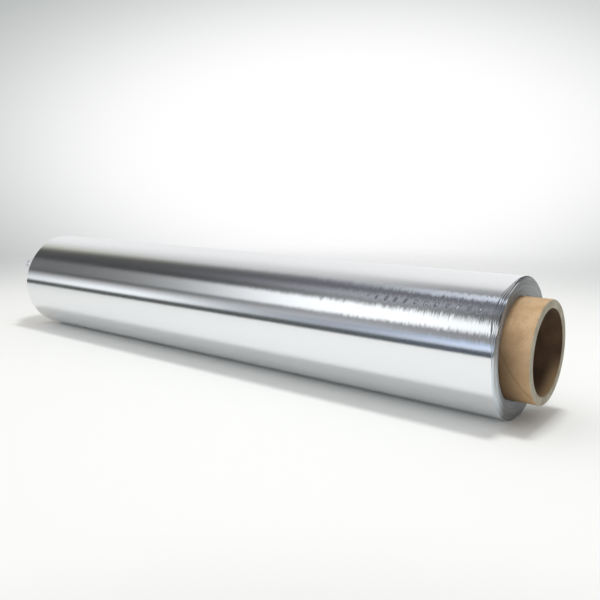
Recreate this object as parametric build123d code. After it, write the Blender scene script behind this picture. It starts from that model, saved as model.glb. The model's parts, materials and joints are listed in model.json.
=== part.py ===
"""A roll of aluminium foil wound on a cardboard core, lying on its side.

Millimetres, +Z up. The roll's axis runs along X. The origin is on the surface that the roll
lies on, under the middle of its length.
"""
from build123d import *
import math
import os

# The foil: one long sheet wound tight, so its turns are one solid.
FOIL_WIDTH = 300.0          # width of the sheet, so the length of the winding
WINDING_DIAMETER = 56.0     # outside of the outermost turn
FLAT_SPOT_WIDTH = 8.0       # the strip that the soft turns press flat where the roll lies
END_FACE_DISH = 0.65        # how far each end face sinks from the rim to the core
RIM_ROUND = 0.6             # the worn edge between the outermost turn and the end face

# The core: a tube of glued plies of board, longer than the foil is wide.
CORE_BORE_DIAMETER = 33.6   # the hole that a holder's rod goes through
CORE_WALL = 3.4             # thickness of the board
CORE_OVERHANG = 10.4        # how far the core stands out of the foil at each end
CORE_EDGE_ROUND = 0.7       # the cut edge, rubbed round on the outside

# The innermost turn lies on the core with hardly any room.
WINDING_ON_CORE_CLEARANCE = 0.05

WINDING_RADIUS = WINDING_DIAMETER / 2
CORE_INNER_RADIUS = CORE_BORE_DIAMETER / 2
CORE_OUTER_RADIUS = CORE_INNER_RADIUS + CORE_WALL
WINDING_BORE_RADIUS = CORE_OUTER_RADIUS + WINDING_ON_CORE_CLEARANCE
CORE_LENGTH = FOIL_WIDTH + 2 * CORE_OVERHANG

# The flat spot's strip is a chord of the winding, so it sets how high the axis lies.
AXIS_HEIGHT = math.sqrt(WINDING_RADIUS**2 - (FLAT_SPOT_WIDTH / 2) ** 2)


def lift_onto_surface(shape):
    """Move a shape built round the X axis so that the flat spot lies at Z = 0."""
    return Pos(0, 0, AXIS_HEIGHT) * shape


def turned(half_section):
    """Revolve a half section, drawn with its radius along Z, about the X axis."""
    return revolve(Plane.XZ * half_section, axis=Axis.X)


def foil_winding():
    """The wound sheet, with dished end faces, rounded rims and the flat spot."""
    half_width = FOIL_WIDTH / 2
    bore_half_width = half_width - END_FACE_DISH
    section = Polygon(
        (-bore_half_width, WINDING_BORE_RADIUS),
        (bore_half_width, WINDING_BORE_RADIUS),
        (half_width, WINDING_RADIUS),
        (-half_width, WINDING_RADIUS),
        align=None,
    )
    rims = section.vertices().sort_by(Axis.Y)[-2:]
    winding = turned(fillet(rims, RIM_ROUND))
    pressed_away = Pos(0, 0, -AXIS_HEIGHT) * Box(
        2 * FOIL_WIDTH,
        WINDING_DIAMETER,
        WINDING_RADIUS,
        align=(Align.CENTER, Align.CENTER, Align.MAX),
    )
    return lift_onto_surface(winding - pressed_away)


def core_tube():
    """The board tube, with the outer edge of each cut end rounded."""
    section = Pos(0, CORE_INNER_RADIUS) * Rectangle(
        CORE_LENGTH, CORE_WALL, align=(Align.CENTER, Align.MIN)
    )
    outer_corners = section.vertices().sort_by(Axis.Y)[-2:]
    return lift_onto_surface(turned(fillet(outer_corners, CORE_EDGE_ROUND)))


os.makedirs("parts", exist_ok=True)
export_step(foil_winding(), "parts/foil_winding.step")
export_step(core_tube(), "parts/core_tube.step")
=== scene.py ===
import json
import math
import random

import bmesh
import bpy
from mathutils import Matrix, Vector, noise


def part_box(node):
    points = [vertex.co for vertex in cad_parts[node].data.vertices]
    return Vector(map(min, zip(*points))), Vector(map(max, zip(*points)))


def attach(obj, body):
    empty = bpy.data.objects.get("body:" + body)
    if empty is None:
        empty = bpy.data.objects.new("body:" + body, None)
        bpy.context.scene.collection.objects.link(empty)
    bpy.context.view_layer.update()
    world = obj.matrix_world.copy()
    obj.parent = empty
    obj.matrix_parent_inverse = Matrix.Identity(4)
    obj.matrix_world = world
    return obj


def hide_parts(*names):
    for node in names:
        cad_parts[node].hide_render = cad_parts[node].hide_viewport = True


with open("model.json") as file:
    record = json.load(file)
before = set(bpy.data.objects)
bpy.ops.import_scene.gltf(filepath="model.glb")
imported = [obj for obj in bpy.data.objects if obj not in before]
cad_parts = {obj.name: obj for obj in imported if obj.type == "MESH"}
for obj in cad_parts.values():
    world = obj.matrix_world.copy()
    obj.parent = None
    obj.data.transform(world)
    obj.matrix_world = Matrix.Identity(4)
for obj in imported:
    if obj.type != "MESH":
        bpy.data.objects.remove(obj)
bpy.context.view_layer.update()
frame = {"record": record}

MM = 0.001

# ---------------------------------------------------------------- sizes from the frame
foil_low, foil_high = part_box("foil_winding")
core_low, core_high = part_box("core_tube")
bore_mount = next(m for m in frame["record"]["mounts"] if m["name"] == "core_bore")

AXIS = Vector((0, 0, bore_mount["pos_m"][2]))
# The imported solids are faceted, so the finished surfaces stay a hair inside them.
INSIDE_FACETS = 0.03 * MM
FOIL_RADIUS = (foil_high.y - foil_low.y) / 2 - INSIDE_FACETS
FOIL_END_X = foil_high.x - INSIDE_FACETS
CORE_RADIUS = (core_high.y - core_low.y) / 2 - INSIDE_FACETS
CORE_END_X = core_high.x - INSIDE_FACETS
BORE_RADIUS = bore_mount["dims"]["r_mm"] * MM
SURFACE_Z = foil_low.z

# ---------------------------------------------------------------- sizes of the details
ROUND_STEPS = 288            # facets round the winding
BODY_STEPS = 130             # spans along the winding
END_FACE_DISH = 0.65 * MM    # how far the end face sinks towards the core
END_FACE_RINGS = 15          # groups of turns that stand a little in or out
RING_STAGGER = 0.28 * MM     # how far a group stands in or out
RING_UNEVENNESS = 0.3        # how far a group's depth strays, as a share of an even one
RING_WALL_LEAN = 0.02 * MM   # the step between two groups leans by this much
CUT_EDGE_FACING = 0.6        # a face that looks this far along the roll shows cut edges
SHOULDER_STEPS = 5           # outermost turns that wandered back from the end
SHOULDER_DEPTH = 0.9 * MM    # radial depth of those turns
SHOULDER_SETBACK = 1.9 * MM  # how far back the outermost of them ends
SHOULDER_CURVE = 1.5         # the setback grows with this power of the depth
SHOULDER_ZONE = 3 * MM       # all of the shoulder lies this close to the end
WANDER_LEAST = 0.25          # the share of the setback that they keep all round
WANDER_MORE = 0.95           # and what comes on top of it in one place
WANDER_AT = 40               # that place, in degrees up from the front
WANDER_SPREAD = 26
WANDER_RIPPLE = 0.5          # unevenness of the setback from turn to turn
CORE_GAP = 0.7 * MM          # the loose first turns leave this dark gap round the core
CORE_GAP_DEPTH = 2.0 * MM
HAND_DENT = 0.010 * MM       # the body sinks up to twice this far between high spots
HAIR = 0.01 * MM             # a vertex this close to a radius counts as on it
MARK_PITCH = 4.4 * MM        # spacing of the winder's marks along the roll
SEAM_LEAD = 70 * MM          # the core's outer ply goes once round in this length
SEAM_START = -0.139          # and starts this part of a turn on
CORE_EDGE_ROUND = 0.7 * MM   # rounding of the core's outer edge, from the cutter and from use
CORE_BORE_EDGE = 0.25 * MM   # bevel of its inner edge
CORE_EDGE_STEPS = 5
CORE_SPANS = 24              # spans along the core
CORE_ROUND_STEPS = 192       # facets round the core
CORE_CUT_FACING = 0.7        # a face that looks this far along the core shows cut board
FREE_EDGE_FROM = 128         # the last turn comes loose here, in degrees up from the front
FREE_EDGE_TO = 158
FREE_EDGE_LIFT = 0.60 * MM   # how far it stands off at its edge
FREE_EDGE_INSET = 0.8 * MM   # it ends this far short of the foil's ends
FREE_EDGE_WAVE = 28 * MM     # length of the waves along it
FREE_EDGE_SWAY = 0.8         # how far the waves move its edge round the roll, in degrees
BENT_CORNER_AT = 27          # a torn corner of the last turn at one end, in the same degrees
BENT_CORNER_SPAN = 9         # its width in degrees
BENT_CORNER_TAPER = 0.35     # the share of that width that it loses towards its tip
BENT_CORNER_ROOT = 0.5 * MM  # it starts this far inside the foil's end
BENT_CORNER_REACH = 1.1 * MM
BENT_CORNER_LIFT = 0.65 * MM
SHEET = 0.04 * MM            # foil is 0.012 mm thick, drawn thicker so that its edge shows
SHARP_FROM = math.radians(35)


# ---------------------------------------------------------------- helpers
def linear(hex_colour):
    """An sRGB hex colour such as "C8A57C" as linear RGBA."""
    channels = [int(hex_colour[i:i + 2], 16) / 255 for i in (0, 2, 4)]
    powered = [c / 12.92 if c <= 0.04045 else ((c + 0.055) / 1.055) ** 2.4 for c in channels]
    return (*powered, 1.0)


def add_node(tree, kind, inputs=None, **settings):
    """Add a node, set its properties, and set or link its inputs by name or number."""
    made = tree.nodes.new(kind)
    for name, value in settings.items():
        setattr(made, name, value)
    for key, value in (inputs or {}).items():
        socket = made.inputs[key]
        if isinstance(value, bpy.types.NodeSocket):
            tree.links.new(value, socket)
        else:
            socket.default_value = value
    return made


def math_of(tree, operation, *values):
    """The result of a Math node on sockets or numbers."""
    made = add_node(tree, "ShaderNodeMath", dict(enumerate(values)), operation=operation)
    return made.outputs[0]


def share_of_span(tree, value, low, high):
    """0 at low and 1 at high, in a straight line."""
    made = add_node(
        tree, "ShaderNodeMapRange", {"Value": value, "From Min": low, "From Max": high}
    )
    return made.outputs["Result"]


def eased(tree, value, start, end):
    """0 before start and 1 after end, eased between them. Runs down if end comes first."""
    low, high = min(start, end), max(start, end)
    made = add_node(
        tree,
        "ShaderNodeMapRange",
        {
            "Value": value,
            "From Min": low,
            "From Max": high,
            "To Min": 0.0 if start < end else 1.0,
            "To Max": 1.0 if start < end else 0.0,
        },
        interpolation_type="SMOOTHSTEP",
    )
    return made.outputs["Result"]


def between(tree, value, up_from, up_to, down_from, down_to):
    """1 between up_to and down_from, easing to 0 outside up_from and down_to."""
    rise = eased(tree, value, up_from, up_to)
    fall = eased(tree, value, down_to, down_from)
    return math_of(tree, "MULTIPLY", rise, fall)


def mixed(tree, factor, first, second, blend="MIX"):
    """The colour result of a Mix node."""
    made = tree.nodes.new("ShaderNodeMix")
    made.data_type = "RGBA"
    made.blend_type = blend
    made.clamp_factor = False
    for index, value in ((0, factor), (6, first), (7, second)):
        if isinstance(value, bpy.types.NodeSocket):
            tree.links.new(value, made.inputs[index])
        else:
            made.inputs[index].default_value = value
    return made.outputs[2]


def new_material(name):
    """An empty node material, and its tree."""
    made = bpy.data.materials.new(name)
    made.use_nodes = True
    made.node_tree.nodes.clear()
    return made, made.node_tree


def finish_material(tree, surface):
    """Link the surface to the material's output."""
    add_node(tree, "ShaderNodeOutputMaterial", {"Surface": surface})


def piece_from(bm, name, materials):
    """Turn a bmesh into an object at the origin, and use the bmesh up."""
    mesh = bpy.data.meshes.new(name)
    bm.to_mesh(mesh)
    bm.free()
    for material in materials:
        mesh.materials.append(material)
    made = bpy.data.objects.new(name, mesh)
    bpy.context.scene.collection.objects.link(made)
    return made


def smoothed(bm):
    """Shade every face smooth, and keep the edges that turn by SHARP_FROM or more sharp."""
    for face in bm.faces:
        face.smooth = True
    for edge in bm.edges:
        edge.smooth = edge.calc_face_angle(0) < SHARP_FROM


def spin_profile(points, steps):
    """Revolve (x, radius) points, joined in a ring, about the roll's axis."""
    bm = bmesh.new()
    verts = [bm.verts.new((x, 0, radius)) for x, radius in points]
    edges = [bm.edges.new((verts[i], verts[i - 1])) for i in range(len(verts))]
    bmesh.ops.spin(
        bm,
        geom=verts + edges,
        cent=(0, 0, 0),
        axis=(1, 0, 0),
        angle=math.tau,
        steps=steps,
        use_merge=True,
    )
    bmesh.ops.remove_doubles(bm, verts=bm.verts, dist=0.001 * MM)
    bmesh.ops.recalc_face_normals(bm, faces=bm.faces)
    return bm


def axis_coordinates(tree):
    """Object coordinates measured from the roll's axis, and the same split in X, Y and Z."""
    place = add_node(tree, "ShaderNodeTexCoord").outputs["Object"]
    centred = add_node(
        tree,
        "ShaderNodeMapping",
        {"Vector": place, "Location": (0, 0, -AXIS.z)},
    ).outputs["Vector"]
    split = add_node(tree, "ShaderNodeSeparateXYZ", {0: centred})
    return centred, split.outputs[0], split.outputs[1], split.outputs[2]


def degrees_up(tree, across, up):
    """How far round the roll a point lies, in degrees up from the front."""
    turned = math_of(tree, "ARCTAN2", up, math_of(tree, "MULTIPLY", across, -1.0))
    return math_of(tree, "MULTIPLY", turned, 180 / math.pi)


def round_the_roll(tree):
    """The tangent that runs round the roll's axis."""
    return add_node(tree, "ShaderNodeTangent", direction_type="RADIAL", axis="X").outputs[0]


def vector_math(tree, operation, inputs):
    """The first result of a Vector Math node."""
    return add_node(tree, "ShaderNodeVectorMath", inputs, operation=operation).outputs[0]


# ---------------------------------------------------------------- materials
LINE_PITCH = 0.26 * MM       # the rolling lines; the real ones are too fine to show
LINE_LENGTH = 9 * MM         # how far one runs round the roll
CRINKLE_PITCH = 0.7 * MM     # small creases from handling, along the roll
CRINKLE_LENGTH = 2.6 * MM    # and round it
MARK_SLANT = -0.45           # a mark leans by this part of its height
RING_PITCH = 0.35 * MM       # lines on the end face; a turn is 0.012 mm thick, too fine to show


def stretched_noise(tree, centred, pitch, length, detail):
    """Noise about 0 that changes over pitch along the roll and over length round it."""
    scaled = add_node(
        tree,
        "ShaderNodeMapping",
        {"Vector": centred, "Scale": (1 / pitch, 1 / length, 1 / length)},
    ).outputs["Vector"]
    raw = add_node(
        tree, "ShaderNodeTexNoise", {"Vector": scaled, "Scale": 1.0, "Detail": detail}
    ).outputs["Fac"]
    return math_of(tree, "SUBTRACT", raw, 0.5)


def winder_marks(tree, along, height, up):
    """A row of short slanted dents, one for each tooth of the winder's drive, near one end."""
    slanted = math_of(tree, "MULTIPLY_ADD", up, MARK_SLANT, along)
    turn = math_of(tree, "FRACT", math_of(tree, "MULTIPLY", slanted, 1 / MARK_PITCH))
    across_mark = between(tree, turn, 0.22, 0.47, 0.53, 0.78)
    along_mark = between(tree, height, 34.5, 37.0, 39.0, 41.5)
    reach = between(tree, along, 80 * MM, 112 * MM, 143 * MM, 147 * MM)
    return math_of(tree, "MULTIPLY", math_of(tree, "MULTIPLY", across_mark, along_mark), reach)


def foil_face_material():
    """Household foil, rolled bright: bare aluminium with fine rolling lines round the roll.

    The lines run the way the sheet was rolled, so a reflection smears along the roll and
    stays sharp across it. They are deepest on the right half, where the roll was handled.
    """
    material, tree = new_material("bright_rolled_aluminium_foil")
    centred, along, across, up = axis_coordinates(tree)
    height = degrees_up(tree, across, up)
    handled = math_of(
        tree,
        "MULTIPLY",
        eased(tree, along, -30 * MM, 125 * MM),
        between(tree, height, 8.0, 19.0, 50.0, 60.0),
    )
    lines = math_of(
        tree,
        "MULTIPLY",
        stretched_noise(tree, centred, LINE_PITCH, LINE_LENGTH, 3.0),
        math_of(tree, "MULTIPLY_ADD", handled, 0.17, 0.025),
    )
    crinkle = math_of(
        tree,
        "MULTIPLY",
        stretched_noise(tree, centred, CRINKLE_PITCH, CRINKLE_LENGTH, 2.0),
        math_of(tree, "MULTIPLY_ADD", handled, 0.075, 0.006),
    )
    uneven = stretched_noise(tree, centred, 3 * MM, 3 * MM, 1.0)
    marks = math_of(
        tree,
        "MULTIPLY",
        winder_marks(tree, along, height, up),
        math_of(tree, "MULTIPLY_ADD", uneven, -0.22, -0.15),
    )
    tilt = math_of(tree, "ADD", math_of(tree, "ADD", lines, crinkle), marks)
    # The surface leans up or down round the roll by the tilt.
    normal = add_node(tree, "ShaderNodeNewGeometry").outputs["Normal"]
    around = vector_math(tree, "CROSS_PRODUCT", {0: (1, 0, 0), 1: normal})
    nudge = vector_math(tree, "SCALE", {0: around, "Scale": tilt})
    leaning = vector_math(tree, "ADD", {0: normal, 1: nudge})
    shader = add_node(
        tree,
        "ShaderNodeBsdfPrincipled",
        {
            "Base Color": linear("ECEEF0"),
            "Metallic": 1.0,
            "Roughness": 0.17,
            "Anisotropic": 0.9,
            "Anisotropic Rotation": 0.25,
            "Normal": vector_math(tree, "NORMALIZE", {0: leaning}),
            "Tangent": round_the_roll(tree),
        },
    )
    finish_material(tree, shader.outputs[0])
    return material


def foil_edge_material():
    """The cut edges of hundreds of turns, seen end on: bare aluminium, grey where light is lost
    between the turns, with the highlight fanned out across the rings."""
    material, tree = new_material("stacked_cut_foil_edges")
    across, up = axis_coordinates(tree)[2:]
    across_squared = math_of(tree, "POWER", across, 2.0)
    up_squared = math_of(tree, "POWER", up, 2.0)
    radius = math_of(tree, "SQRT", math_of(tree, "ADD", across_squared, up_squared))
    rings = add_node(
        tree,
        "ShaderNodeTexNoise",
        {"W": math_of(tree, "MULTIPLY", radius, 1 / RING_PITCH), "Scale": 1.0, "Detail": 3.0},
        noise_dimensions="1D",
    ).outputs["Fac"]
    tone = mixed(tree, rings, linear("585C5E"), linear("B6BABC"))
    # Painted light: the low front of the face is brighter.
    painted_light_low_front = math_of(
        tree,
        "MULTIPLY",
        eased(tree, across, -13 * MM, -22 * MM),
        math_of(tree, "MULTIPLY", eased(tree, up, 9 * MM, -5 * MM), 0.95),
    )
    tone = mixed(tree, painted_light_low_front, tone, linear("E4F0F8"))
    bump = add_node(
        tree, "ShaderNodeBump", {"Strength": 0.5, "Distance": 0.06 * MM, "Height": rings}
    )
    # A part of the light comes back scattered from between the turns, so it isn't all metal.
    shader = add_node(
        tree,
        "ShaderNodeBsdfPrincipled",
        {
            "Base Color": tone,
            "Metallic": 0.8,
            "Roughness": 0.42,
            "Anisotropic": 0.75,
            "Anisotropic Rotation": 0.25,
            "Normal": bump.outputs[0],
            "Tangent": round_the_roll(tree),
        },
    )
    finish_material(tree, shader.outputs[0])
    return material


def as_it_is(tree, tone, height, along, across, up):
    """Plain board, with nothing added to its tone or its height."""
    return tone, height


def with_ply_seam_and_painted_shade(tree, tone, height, along, across, up):
    """The outer ply is wound on aslant, and its edge shows as a shallow step. Painted shade
    darkens the board low down and near the foil.
    """
    turns = math_of(tree, "MULTIPLY", degrees_up(tree, across, up), 1 / 360)
    turns = math_of(tree, "ADD", turns, SEAM_START)
    helix = math_of(tree, "FRACT", math_of(tree, "MULTIPLY_ADD", along, 1 / SEAM_LEAD, turns))
    line = between(tree, helix, 0.006, 0.012, 0.014, 0.034)
    tone = mixed(tree, math_of(tree, "MULTIPLY", line, 0.5), tone, linear("7A6144"))
    # Painted shade: the board is darker towards the bottom, and darker still where it comes out of
    # the foil, most of all low down.
    close = eased(tree, math_of(tree, "ABSOLUTE", along), CORE_END_X, FOIL_END_X)
    low = eased(tree, up, 15 * MM, -6 * MM)
    painted_shade_near_foil = math_of(tree, "MULTIPLY", math_of(tree, "MULTIPLY", close, low), 0.9)
    tone = mixed(tree, math_of(tree, "MULTIPLY", low, 0.5), tone, linear("9A7A54"))
    tone = mixed(tree, painted_shade_near_foil, tone, linear("664E33"))
    return tone, math_of(tree, "ADD", height, math_of(tree, "MULTIPLY", helix, 1.2))


def with_painted_light_on_lower_lip(tree, tone, height, along, across, up):
    """Painted light: the lower part of the bore near its mouths is paler."""
    lip = eased(tree, math_of(tree, "ABSOLUTE", along), CORE_END_X - 6 * MM, CORE_END_X)
    low = eased(tree, up, -3 * MM, -15 * MM)
    share = math_of(tree, "MULTIPLY", math_of(tree, "MULTIPLY", lip, low), 0.7)
    return mixed(tree, share, tone, linear("C2A37C")), height


def board_material(name, dark, middle, light, speck, finish):
    """Recycled board: matt, mottled fibre with specks. The finish adds what one face shows."""
    material, tree = new_material(name)
    centred, along, across, up = axis_coordinates(tree)
    mottle = add_node(
        tree, "ShaderNodeTexNoise", {"Vector": centred, "Scale": 1 / (7 * MM), "Detail": 4.0}
    ).outputs["Fac"]
    fibre = add_node(
        tree, "ShaderNodeTexNoise", {"Vector": centred, "Scale": 1 / (0.9 * MM), "Detail": 5.0}
    ).outputs["Fac"]
    ramp = add_node(tree, "ShaderNodeValToRGB", {0: mottle})
    ramp.color_ramp.elements[0].position = 0.32
    ramp.color_ramp.elements[0].color = linear(dark)
    ramp.color_ramp.elements[1].position = 0.68
    ramp.color_ramp.elements[1].color = linear(light)
    ramp.color_ramp.elements.new(0.5).color = linear(middle)
    specks = eased(tree, fibre, 0.50, 0.70)
    tone = mixed(tree, math_of(tree, "MULTIPLY", specks, 0.30), ramp.outputs[0], linear(speck))
    tone, height = finish(tree, tone, fibre, along, across, up)
    bump = add_node(
        tree, "ShaderNodeBump", {"Strength": 0.35, "Distance": 0.08 * MM, "Height": height}
    )
    shader = add_node(
        tree,
        "ShaderNodeBsdfPrincipled",
        {"Base Color": tone, "Roughness": 0.8, "IOR": 1.45, "Normal": bump.outputs[0]},
    )
    finish_material(tree, shader.outputs[0])
    return material


# ---------------------------------------------------------------- the wound foil
def end_face_profile(draw):
    """(x, radius) points of one end face, from the core outwards, with x as a positive length.

    Each group of turns ends at its own place, so the face is a set of low sharp steps.
    """
    bore = CORE_RADIUS + INSIDE_FACETS
    first = bore + CORE_GAP
    rim = FOIL_RADIUS - SHOULDER_DEPTH
    points = [(FOIL_END_X - CORE_GAP_DEPTH, bore), (FOIL_END_X - CORE_GAP_DEPTH, first)]
    radius = first
    for ring in range(END_FACE_RINGS):
        share = (ring + 1) / END_FACE_RINGS
        x = FOIL_END_X - END_FACE_DISH * (1 - share) - RING_STAGGER * draw.random()
        points.append((x, radius + RING_WALL_LEAN))
        stray = draw.uniform(-RING_UNEVENNESS, RING_UNEVENNESS)
        radius = min(first + (rim - first) * (share + stray / END_FACE_RINGS), rim)
        points.append((x, radius))
    for step in range(SHOULDER_STEPS):
        share = (step + 1) / SHOULDER_STEPS
        radius = rim + SHOULDER_DEPTH * share
        x = FOIL_END_X - RING_STAGGER - SHOULDER_SETBACK * share ** SHOULDER_CURVE
        points.append((x, radius - SHOULDER_DEPTH / SHOULDER_STEPS))
        points.append((x, radius))
    return points


def wandered_x(place, radius):
    """Where a vertex of the shoulder ends up: the turns wander furthest back in one place."""
    angle = math.degrees(math.atan2(place.z, -place.y))
    wander = WANDER_LEAST + WANDER_MORE * math.exp(-((angle - WANDER_AT) / WANDER_SPREAD) ** 2)
    ripple = noise.noise(Vector((radius / (0.25 * MM), angle / 16, place.x)))
    back = (FOIL_END_X - abs(place.x)) * wander * (1 + WANDER_RIPPLE * ripple)
    return math.copysign(FOIL_END_X - back, place.x)


def wound_foil():
    """All turns of the sheet as one body, with stepped end faces and a soft flat under it."""
    draw = random.Random(5)
    right = end_face_profile(draw)
    left = [(-x, radius) for x, radius in end_face_profile(draw)]
    start, end = left[-1][0], right[-1][0]
    body = [
        (start + (end - start) * i / BODY_STEPS, FOIL_RADIUS) for i in range(1, BODY_STEPS)
    ]
    bm = spin_profile(right[::-1] + left + body, ROUND_STEPS)
    smoothed(bm)
    # The faces of the rings show cut edges, and all that runs along the roll shows foil.
    for face in bm.faces:
        face.material_index = 1 if abs(face.normal.x) > CUT_EDGE_FACING else 0
    for vert in bm.verts:
        radius = math.hypot(vert.co.y, vert.co.z)
        on_shoulder = radius > FOIL_RADIUS - SHOULDER_DEPTH - HAIR
        if on_shoulder and abs(vert.co.x) > FOIL_END_X - SHOULDER_ZONE:
            vert.co.x = wandered_x(vert.co, radius)
        if radius > FOIL_RADIUS - HAIR:
            spot = Vector((vert.co.x / (35 * MM), vert.co.y / (22 * MM), vert.co.z / (22 * MM)))
            sink = HAND_DENT * (1 + noise.noise(spot))
            vert.co.y *= 1 - sink / radius
            vert.co.z *= 1 - sink / radius
        vert.co.z = max(vert.co.z + AXIS.z, SURFACE_Z)
    return piece_from(bm, "foil_turns", [foil_face, foil_edges])


def laid_on_roll(bm, place_of):
    """Lay a unit grid on the roll and give it a thickness.

    place_of turns two shares into an x, a radius and degrees up from the front.
    """
    for vert in bm.verts:
        x, radius, degrees = place_of(vert.co.x + 0.5, vert.co.y + 0.5)
        angle = math.radians(degrees)
        vert.co = (x, -radius * math.cos(angle), AXIS.z + radius * math.sin(angle))
    bmesh.ops.recalc_face_normals(bm, faces=bm.faces)
    bmesh.ops.solidify(bm, geom=bm.faces[:], thickness=SHEET)
    bmesh.ops.recalc_face_normals(bm, faces=bm.faces)
    smoothed(bm)


def free_edge():
    """The end of the last turn, which stands a little off the roll on the far side."""
    bm = bmesh.new()
    bmesh.ops.create_grid(bm, x_segments=90, y_segments=16, size=0.5)
    length = 2 * (FOIL_END_X - FREE_EDGE_INSET)

    def place_of(share_along, share_round):
        x = (share_along - 0.5) * length
        wave = noise.noise(Vector((x / FREE_EDGE_WAVE, 3.1, 0.7)))
        lift = FREE_EDGE_LIFT * (1 + 0.6 * wave) * share_round ** 3
        span = FREE_EDGE_TO - FREE_EDGE_FROM + FREE_EDGE_SWAY * wave
        degrees = FREE_EDGE_FROM + span * share_round
        return x, FOIL_RADIUS + 0.6 * SHEET * share_round + lift, degrees

    laid_on_roll(bm, place_of)
    return piece_from(bm, "free_edge", [foil_face])


def bent_corner():
    """A torn corner of the last turn, bent outwards at the roll's left end."""
    bm = bmesh.new()
    bmesh.ops.create_grid(bm, x_segments=8, y_segments=6, size=0.5)

    def place_of(share_out, share_round):
        width = BENT_CORNER_SPAN * (1 - BENT_CORNER_TAPER * share_out)
        degrees = BENT_CORNER_AT + width * (share_round - 0.5)
        length = BENT_CORNER_REACH + BENT_CORNER_ROOT
        x = -(FOIL_END_X - BENT_CORNER_ROOT) - length * share_out
        lift = BENT_CORNER_LIFT * share_out * (1 + 0.7 * (1 - share_round))
        return x, FOIL_RADIUS + 0.02 * MM + lift, degrees

    laid_on_roll(bm, place_of)
    return piece_from(bm, "bent_corner", [foil_face])


# ---------------------------------------------------------------- the core
def core_tube():
    """The board tube: paper outside, grey board where it is cut, and a darker lining, dark partly
    by its own tone and partly by painted shade.
    """
    right = [
        (CORE_END_X - CORE_BORE_EDGE, BORE_RADIUS),
        (CORE_END_X, BORE_RADIUS + CORE_BORE_EDGE),
    ]
    for step in range(CORE_EDGE_STEPS + 1):
        angle = math.pi / 2 * step / CORE_EDGE_STEPS
        x = CORE_END_X - CORE_EDGE_ROUND * (1 - math.cos(angle))
        right.append((x, CORE_RADIUS - CORE_EDGE_ROUND * (1 - math.sin(angle))))
    left = [(-x, radius) for x, radius in right[::-1]]
    start = right[-1][0]
    outside = [(start - start * 2 * i / CORE_SPANS, CORE_RADIUS) for i in range(1, CORE_SPANS)]
    bm = spin_profile(right + outside + left, CORE_ROUND_STEPS)
    for face in bm.faces:
        face.smooth = True
        place = face.calc_center_median()
        if abs(face.normal.x) > CORE_CUT_FACING:
            face.material_index = 1
        elif math.hypot(place.y, place.z) < (BORE_RADIUS + CORE_RADIUS) / 2:
            face.material_index = 2
    bmesh.ops.translate(bm, verts=bm.verts, vec=AXIS)
    return piece_from(bm, "board_core", [core_paper, core_cut, core_bore])


# ---------------------------------------------------------------- stage
# The camera's place is measured from the roll's axis at the middle of its length.
CAMERA_FROM_AXIS = Vector((0.2377, -0.2514, 0.0640))
CAMERA_TURN = 37.82
CAMERA_TILT = 10.13
LENS_MM = 40.66
BRIGHTEST_TURN = 34.0        # the backdrop is brightest a little right of the view's middle
FLOOR_HALF = 1.6
FLOOR_FRONT = 0.235          # the white sheet ends this far in front of the roll
FLOOR_SLANT = 0.13           # and its front edge comes nearer towards the left by this slope
FLOOR_SHADE_SPAN = (0.17, 0.42)   # it greys over this span of distance from the roll
FLOOR_FADES = (0.26, 0.62)   # and fades into the room over this one
CAMERA_SHADE = (0.176, 0.10)  # the disc under the camera, from its edge to its full shade
MIRRORED_FROM = 0.32         # rays that run further right than this see the room turned round


def camera():
    """The view that the stage is made for."""
    data = bpy.data.cameras.new("camera")
    data.lens = LENS_MM
    data.sensor_width = 36
    data.clip_start = 0.01
    made = bpy.data.objects.new("camera", data)
    made.location = AXIS + CAMERA_FROM_AXIS
    made.rotation_euler = (math.radians(90 - CAMERA_TILT), 0, math.radians(CAMERA_TURN))
    bpy.context.scene.collection.objects.link(made)
    bpy.context.scene.camera = made


def floor_material():
    """White paper that fades into the white room, with painted shade that greys it a little away
    from the roll.

    In reflections the sheet ends in front of the roll, where the dark room begins.
    """
    material, tree = new_material("white_paper")
    place = add_node(tree, "ShaderNodeTexCoord").outputs["Object"]
    split = add_node(tree, "ShaderNodeSeparateXYZ", {0: place})
    distance = add_node(tree, "ShaderNodeVectorMath", {0: place}, operation="LENGTH").outputs[1]
    # Painted shade: the paper greys away from the roll.
    far = eased(tree, distance, *FLOOR_SHADE_SPAN)
    tone = mixed(tree, far, linear("F6F8F7"), linear("ECEFEF"))
    # The paper is a little shaded close under the camera.
    from_camera = add_node(
        tree,
        "ShaderNodeVectorMath",
        {0: place, 1: (CAMERA_FROM_AXIS.x, CAMERA_FROM_AXIS.y, 0)},
        operation="DISTANCE",
    ).outputs["Value"]
    light_path = add_node(tree, "ShaderNodeLightPath")
    seen = light_path.outputs["Is Camera Ray"]
    near = math_of(tree, "MULTIPLY", eased(tree, from_camera, *CAMERA_SHADE), 0.13)
    near = math_of(tree, "MULTIPLY", near, seen)
    tone = mixed(tree, near, tone, linear("606464"))
    paper = add_node(tree, "ShaderNodeBsdfDiffuse", {"Color": tone}).outputs[0]
    clear = add_node(tree, "ShaderNodeBsdfTransparent").outputs[0]
    fade = math_of(tree, "MULTIPLY", eased(tree, distance, *FLOOR_FADES), seen)
    edge_line = math_of(tree, "MULTIPLY_ADD", split.outputs[0], -FLOOR_SLANT, -FLOOR_FRONT)
    past_front = math_of(tree, "LESS_THAN", split.outputs[1], edge_line)
    cut = math_of(tree, "MULTIPLY", past_front, light_path.outputs["Is Glossy Ray"])
    gone = math_of(tree, "MAXIMUM", fade, cut)
    shown = add_node(tree, "ShaderNodeMixShader", {0: gone, 1: paper, 2: clear}).outputs[0]
    finish_material(tree, shown)
    return material


def floor():
    """One flat sheet under the roll, left out of the part."""
    bm = bmesh.new()
    bmesh.ops.create_grid(bm, x_segments=1, y_segments=1, size=FLOOR_HALF)
    made = piece_from(bm, "floor", [floor_material()])
    made.location.z = SURFACE_Z


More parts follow.
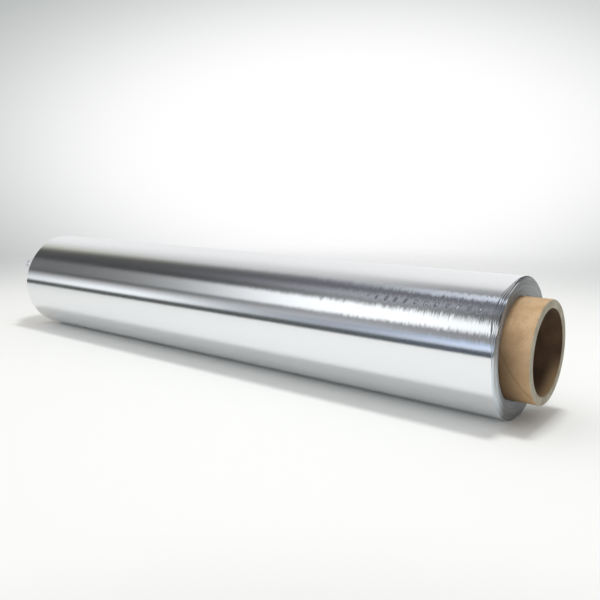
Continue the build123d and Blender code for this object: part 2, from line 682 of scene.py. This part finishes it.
def lamp(name, place, size, power, colour):
    """A round soft lamp that points at the roll and isn't mirrored in it."""
    data = bpy.data.lights.new(name, "AREA")
    data.shape = "DISK"
    data.size = size
    data.energy = power
    data.color = linear(colour)[:3]
    made = bpy.data.objects.new(name, data)
    made.location = place
    aim = AXIS - Vector(place)
    made.rotation_euler = aim.to_track_quat("-Z", "Y").to_euler()
    made.visible_glossy = False
    bpy.context.scene.collection.objects.link(made)


def studio():
    """The room: plain white for light and for the view, and banded where metal mirrors it."""
    world = bpy.data.worlds.new("studio")
    bpy.context.scene.world = world
    world.use_nodes = True
    tree = world.node_tree
    tree.nodes.clear()
    direction = add_node(tree, "ShaderNodeTexCoord").outputs["Generated"]
    split = add_node(tree, "ShaderNodeSeparateXYZ", {0: direction})
    sideways, away, up = split.outputs
    # The angle up from the front, seen along the roll: 0 in front, 90 overhead, 180 behind.
    # Rays that run far to the right see the room turned round: front and back change places,
    # and left and right too, so that one set of panels serves both halves.
    turned = math_of(tree, "GREATER_THAN", sideways, MIRRORED_FROM)
    forward = math_of(
        tree, "MULTIPLY", away, math_of(tree, "MULTIPLY_ADD", turned, 2.0, -1.0)
    )
    angle = math_of(
        tree, "MULTIPLY", math_of(tree, "ARCTAN2", up, forward), 180 / math.pi
    )
    run = math_of(
        tree, "MULTIPLY", sideways, math_of(tree, "MULTIPLY_ADD", turned, -2.0, 1.0)
    )
    # The bare room's tone at each angle.
    stops = [
        (-180, "FAFAFA"), (-160, "FAFAFA"), (-150, "505050"),
        (-9, "3E433F"), (-2, "4C504C"), (3, "8C9096"), (20, "6C6C6C"),
        (26, "4A4A4A"), (33, "3A3A3A"), (46, "424242"), (60, "383838"), (87, "3C3C3C"),
        (92, "7A7A7A"), (98, "CCCCCC"), (109, "E0E0E0"), (120, "F2F2F2"), (132, "FAFAFA"),
        (180, "FAFAFA"),
    ]
    ramp = add_node(tree, "ShaderNodeValToRGB", {0: share_of_span(tree, angle, -180, 180)})
    ramp.color_ramp.interpolation = "LINEAR"
    elements = ramp.color_ramp.elements
    elements[0].position = (stops[0][0] + 180) / 360
    elements[0].color = linear(stops[0][1])
    elements[1].position = (stops[-1][0] + 180) / 360
    elements[1].color = linear(stops[-1][1])
    for degrees, tone in stops[1:-1]:
        elements.new((degrees + 180) / 360).color = linear(tone)
    room = ramp.outputs[0]
    # Bright panels and windows, each as: angle up (from, full, full, to), run along the roll
    # (the same four), and the light it adds.
    panels = [
        ((22, 30, 47, 56), (-0.76, -0.60, -0.43, -0.36), (1.40, 1.43, 1.45, 1)),
        ((24, 32, 39, 49), (-0.43, -0.36, 0.5, 0.6), (0.90, 0.93, 0.96, 1)),
        ((-3, 3, 5, 26), (-0.90, -0.81, -0.76, -0.66), (1.18, 1.20, 1.20, 1)),
        ((-1, 4, 10, 15), (-0.54, -0.38, 0.5, 0.6), (0.62, 0.72, 0.92, 1)),
        ((-12, -9, -3, 0), (-0.60, -0.45, 0.5, 0.6), (0.0, 0.01, 0.05, 1)),
        ((80, 86, 90, 95), (-0.52, -0.40, 0.5, 0.6), (0.70, 0.76, 0.86, 1)),
        ((60, 64, 84, 92), (-0.80, -0.50, 0.5, 0.6), (0.12, 0.12, 0.145, 1)),
        ((49, 57, 66, 78), (-0.67, -0.54, -0.42, -0.35), (0.34, 0.35, 0.37, 1)),
        ((8, 13, 20, 27), (-0.68, -0.60, -0.50, -0.42), (0.20, 0.21, 0.22, 1)),
        ((10, 16, 22, 30), (-0.72, -0.62, 0.5, 0.6), (0.11, 0.11, 0.12, 1)),
        ((-60, -40, 140, 160), (-1.2, -1.1, -0.97, -0.93), (0.90, 0.90, 0.92, 1)),
    ]
    # Dark edges and tints, in the same way, and the light each takes away.
    shades = [
        ((8.5, 10, 10.5, 12), (-0.54, -0.42, 0.5, 0.6), (0.36, 0.34, 0.28, 1)),
        ((92, 96, 103, 113), (-0.54, -0.40, 0.5, 0.6), (0.28, 0.28, 0.27, 1)),
        ((88, 94, 106, 114), (-0.97, -0.92, -0.82, -0.72), (0.0, 0.0, 0.08, 1)),
    ]
    for blend, entries in (("ADD", panels), ("SUBTRACT", shades)):
        for rise, reach, colour in entries:
            share = math_of(
                tree, "MULTIPLY", between(tree, angle, *rise), between(tree, run, *reach)
            )
            room = mixed(tree, share, room, colour, blend)
    # The room's end wall is dark, which the stacked edges of the roll mirror.
    end_wall = between(tree, sideways, 0.10, 0.18, 0.50, 0.62)
    room = mixed(tree, math_of(tree, "MULTIPLY", end_wall, 0.95), room, linear("2C2E30"))
    mirrored = add_node(tree, "ShaderNodeBackground", {"Color": room, "Strength": 1.0}).outputs[0]
    # The room gives more light from the ceiling and the front, and less from the right.
    fill_level = math_of(
        tree,
        "ADD",
        math_of(tree, "MULTIPLY_ADD", math_of(tree, "MAXIMUM", up, 0.0), 0.20, 0.60),
        math_of(
            tree, "MULTIPLY_ADD", sideways, -0.30, math_of(tree, "MULTIPLY", away, -0.20)
        ),
    )
    fill = add_node(
        tree,
        "ShaderNodeBackground",
        {"Color": linear("FCFAF8"), "Strength": fill_level},
    ).outputs[0]
    view = view_backdrop(tree, direction)
    light_path = add_node(tree, "ShaderNodeLightPath")
    lit = add_node(
        tree, "ShaderNodeMixShader", {0: light_path.outputs["Is Glossy Ray"], 1: fill, 2: mirrored}
    ).outputs[0]
    shown = add_node(
        tree, "ShaderNodeMixShader", {0: light_path.outputs["Is Camera Ray"], 1: lit, 2: view}
    ).outputs[0]
    add_node(tree, "ShaderNodeOutputWorld", {"Surface": shown})


def view_backdrop(tree, direction):
    """What shows behind the roll: white paper with painted shade that greys it towards the far
    sides and the top.
    """
    turn = math.radians(BRIGHTEST_TURN)
    middle = Vector((-math.sin(turn), math.cos(turn), 0.089))
    stretched = add_node(
        tree,
        "ShaderNodeVectorMath",
        {0: direction, 1: (1, 1, 2.22)},
        operation="MULTIPLY",
    ).outputs[0]
    away = add_node(
        tree, "ShaderNodeVectorMath", {0: stretched, 1: tuple(middle)}, operation="DISTANCE"
    ).outputs["Value"]
    # Painted shade: the backdrop greys away from its brightest place.
    grey = math_of(
        tree, "MULTIPLY", eased(tree, away, 0.252, 0.742), eased(tree, away, 1.15, 0.68)
    )
    tone = mixed(tree, grey, (1.0, 1.0, 1.0, 1), linear("A5AAA9"))
    return add_node(tree, "ShaderNodeBackground", {"Color": tone, "Strength": 1.0}).outputs[0]


# ---------------------------------------------------------------- making
camera()
floor()
studio()
lamp("overhead_softbox", (0.13, 0.0, 0.65), 0.12, 1.65, "FFFFFF")

foil_face = foil_face_material()
foil_edges = foil_edge_material()
core_paper = board_material(
    "kraft_faced_core_board", "B89A76", "C8A984", "D3B592", "9A7D5D", with_ply_seam_and_painted_shade
)
core_cut = board_material(
    "cut_grey_chipboard", "9C9482", "ABA492", "BBB5A2", "7A705E", as_it_is
)
# The bore's dark tones are partly the lining's own kraft and partly painted shade inside the bore.
core_bore = board_material(
    "kraft_lined_core_bore", "46321F", "523B27", "5E462F", "3A2A1C", with_painted_light_on_lower_lip
)

foil = wound_foil()
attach(foil, "root")
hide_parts("foil_winding")

for loose_part in (free_edge(), bent_corner()):
    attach(loose_part, "root")

core = core_tube()
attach(core, "root")
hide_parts("core_tube")

bpy.context.scene.view_settings.view_transform = "Standard"

bpy.context.view_layer.update()
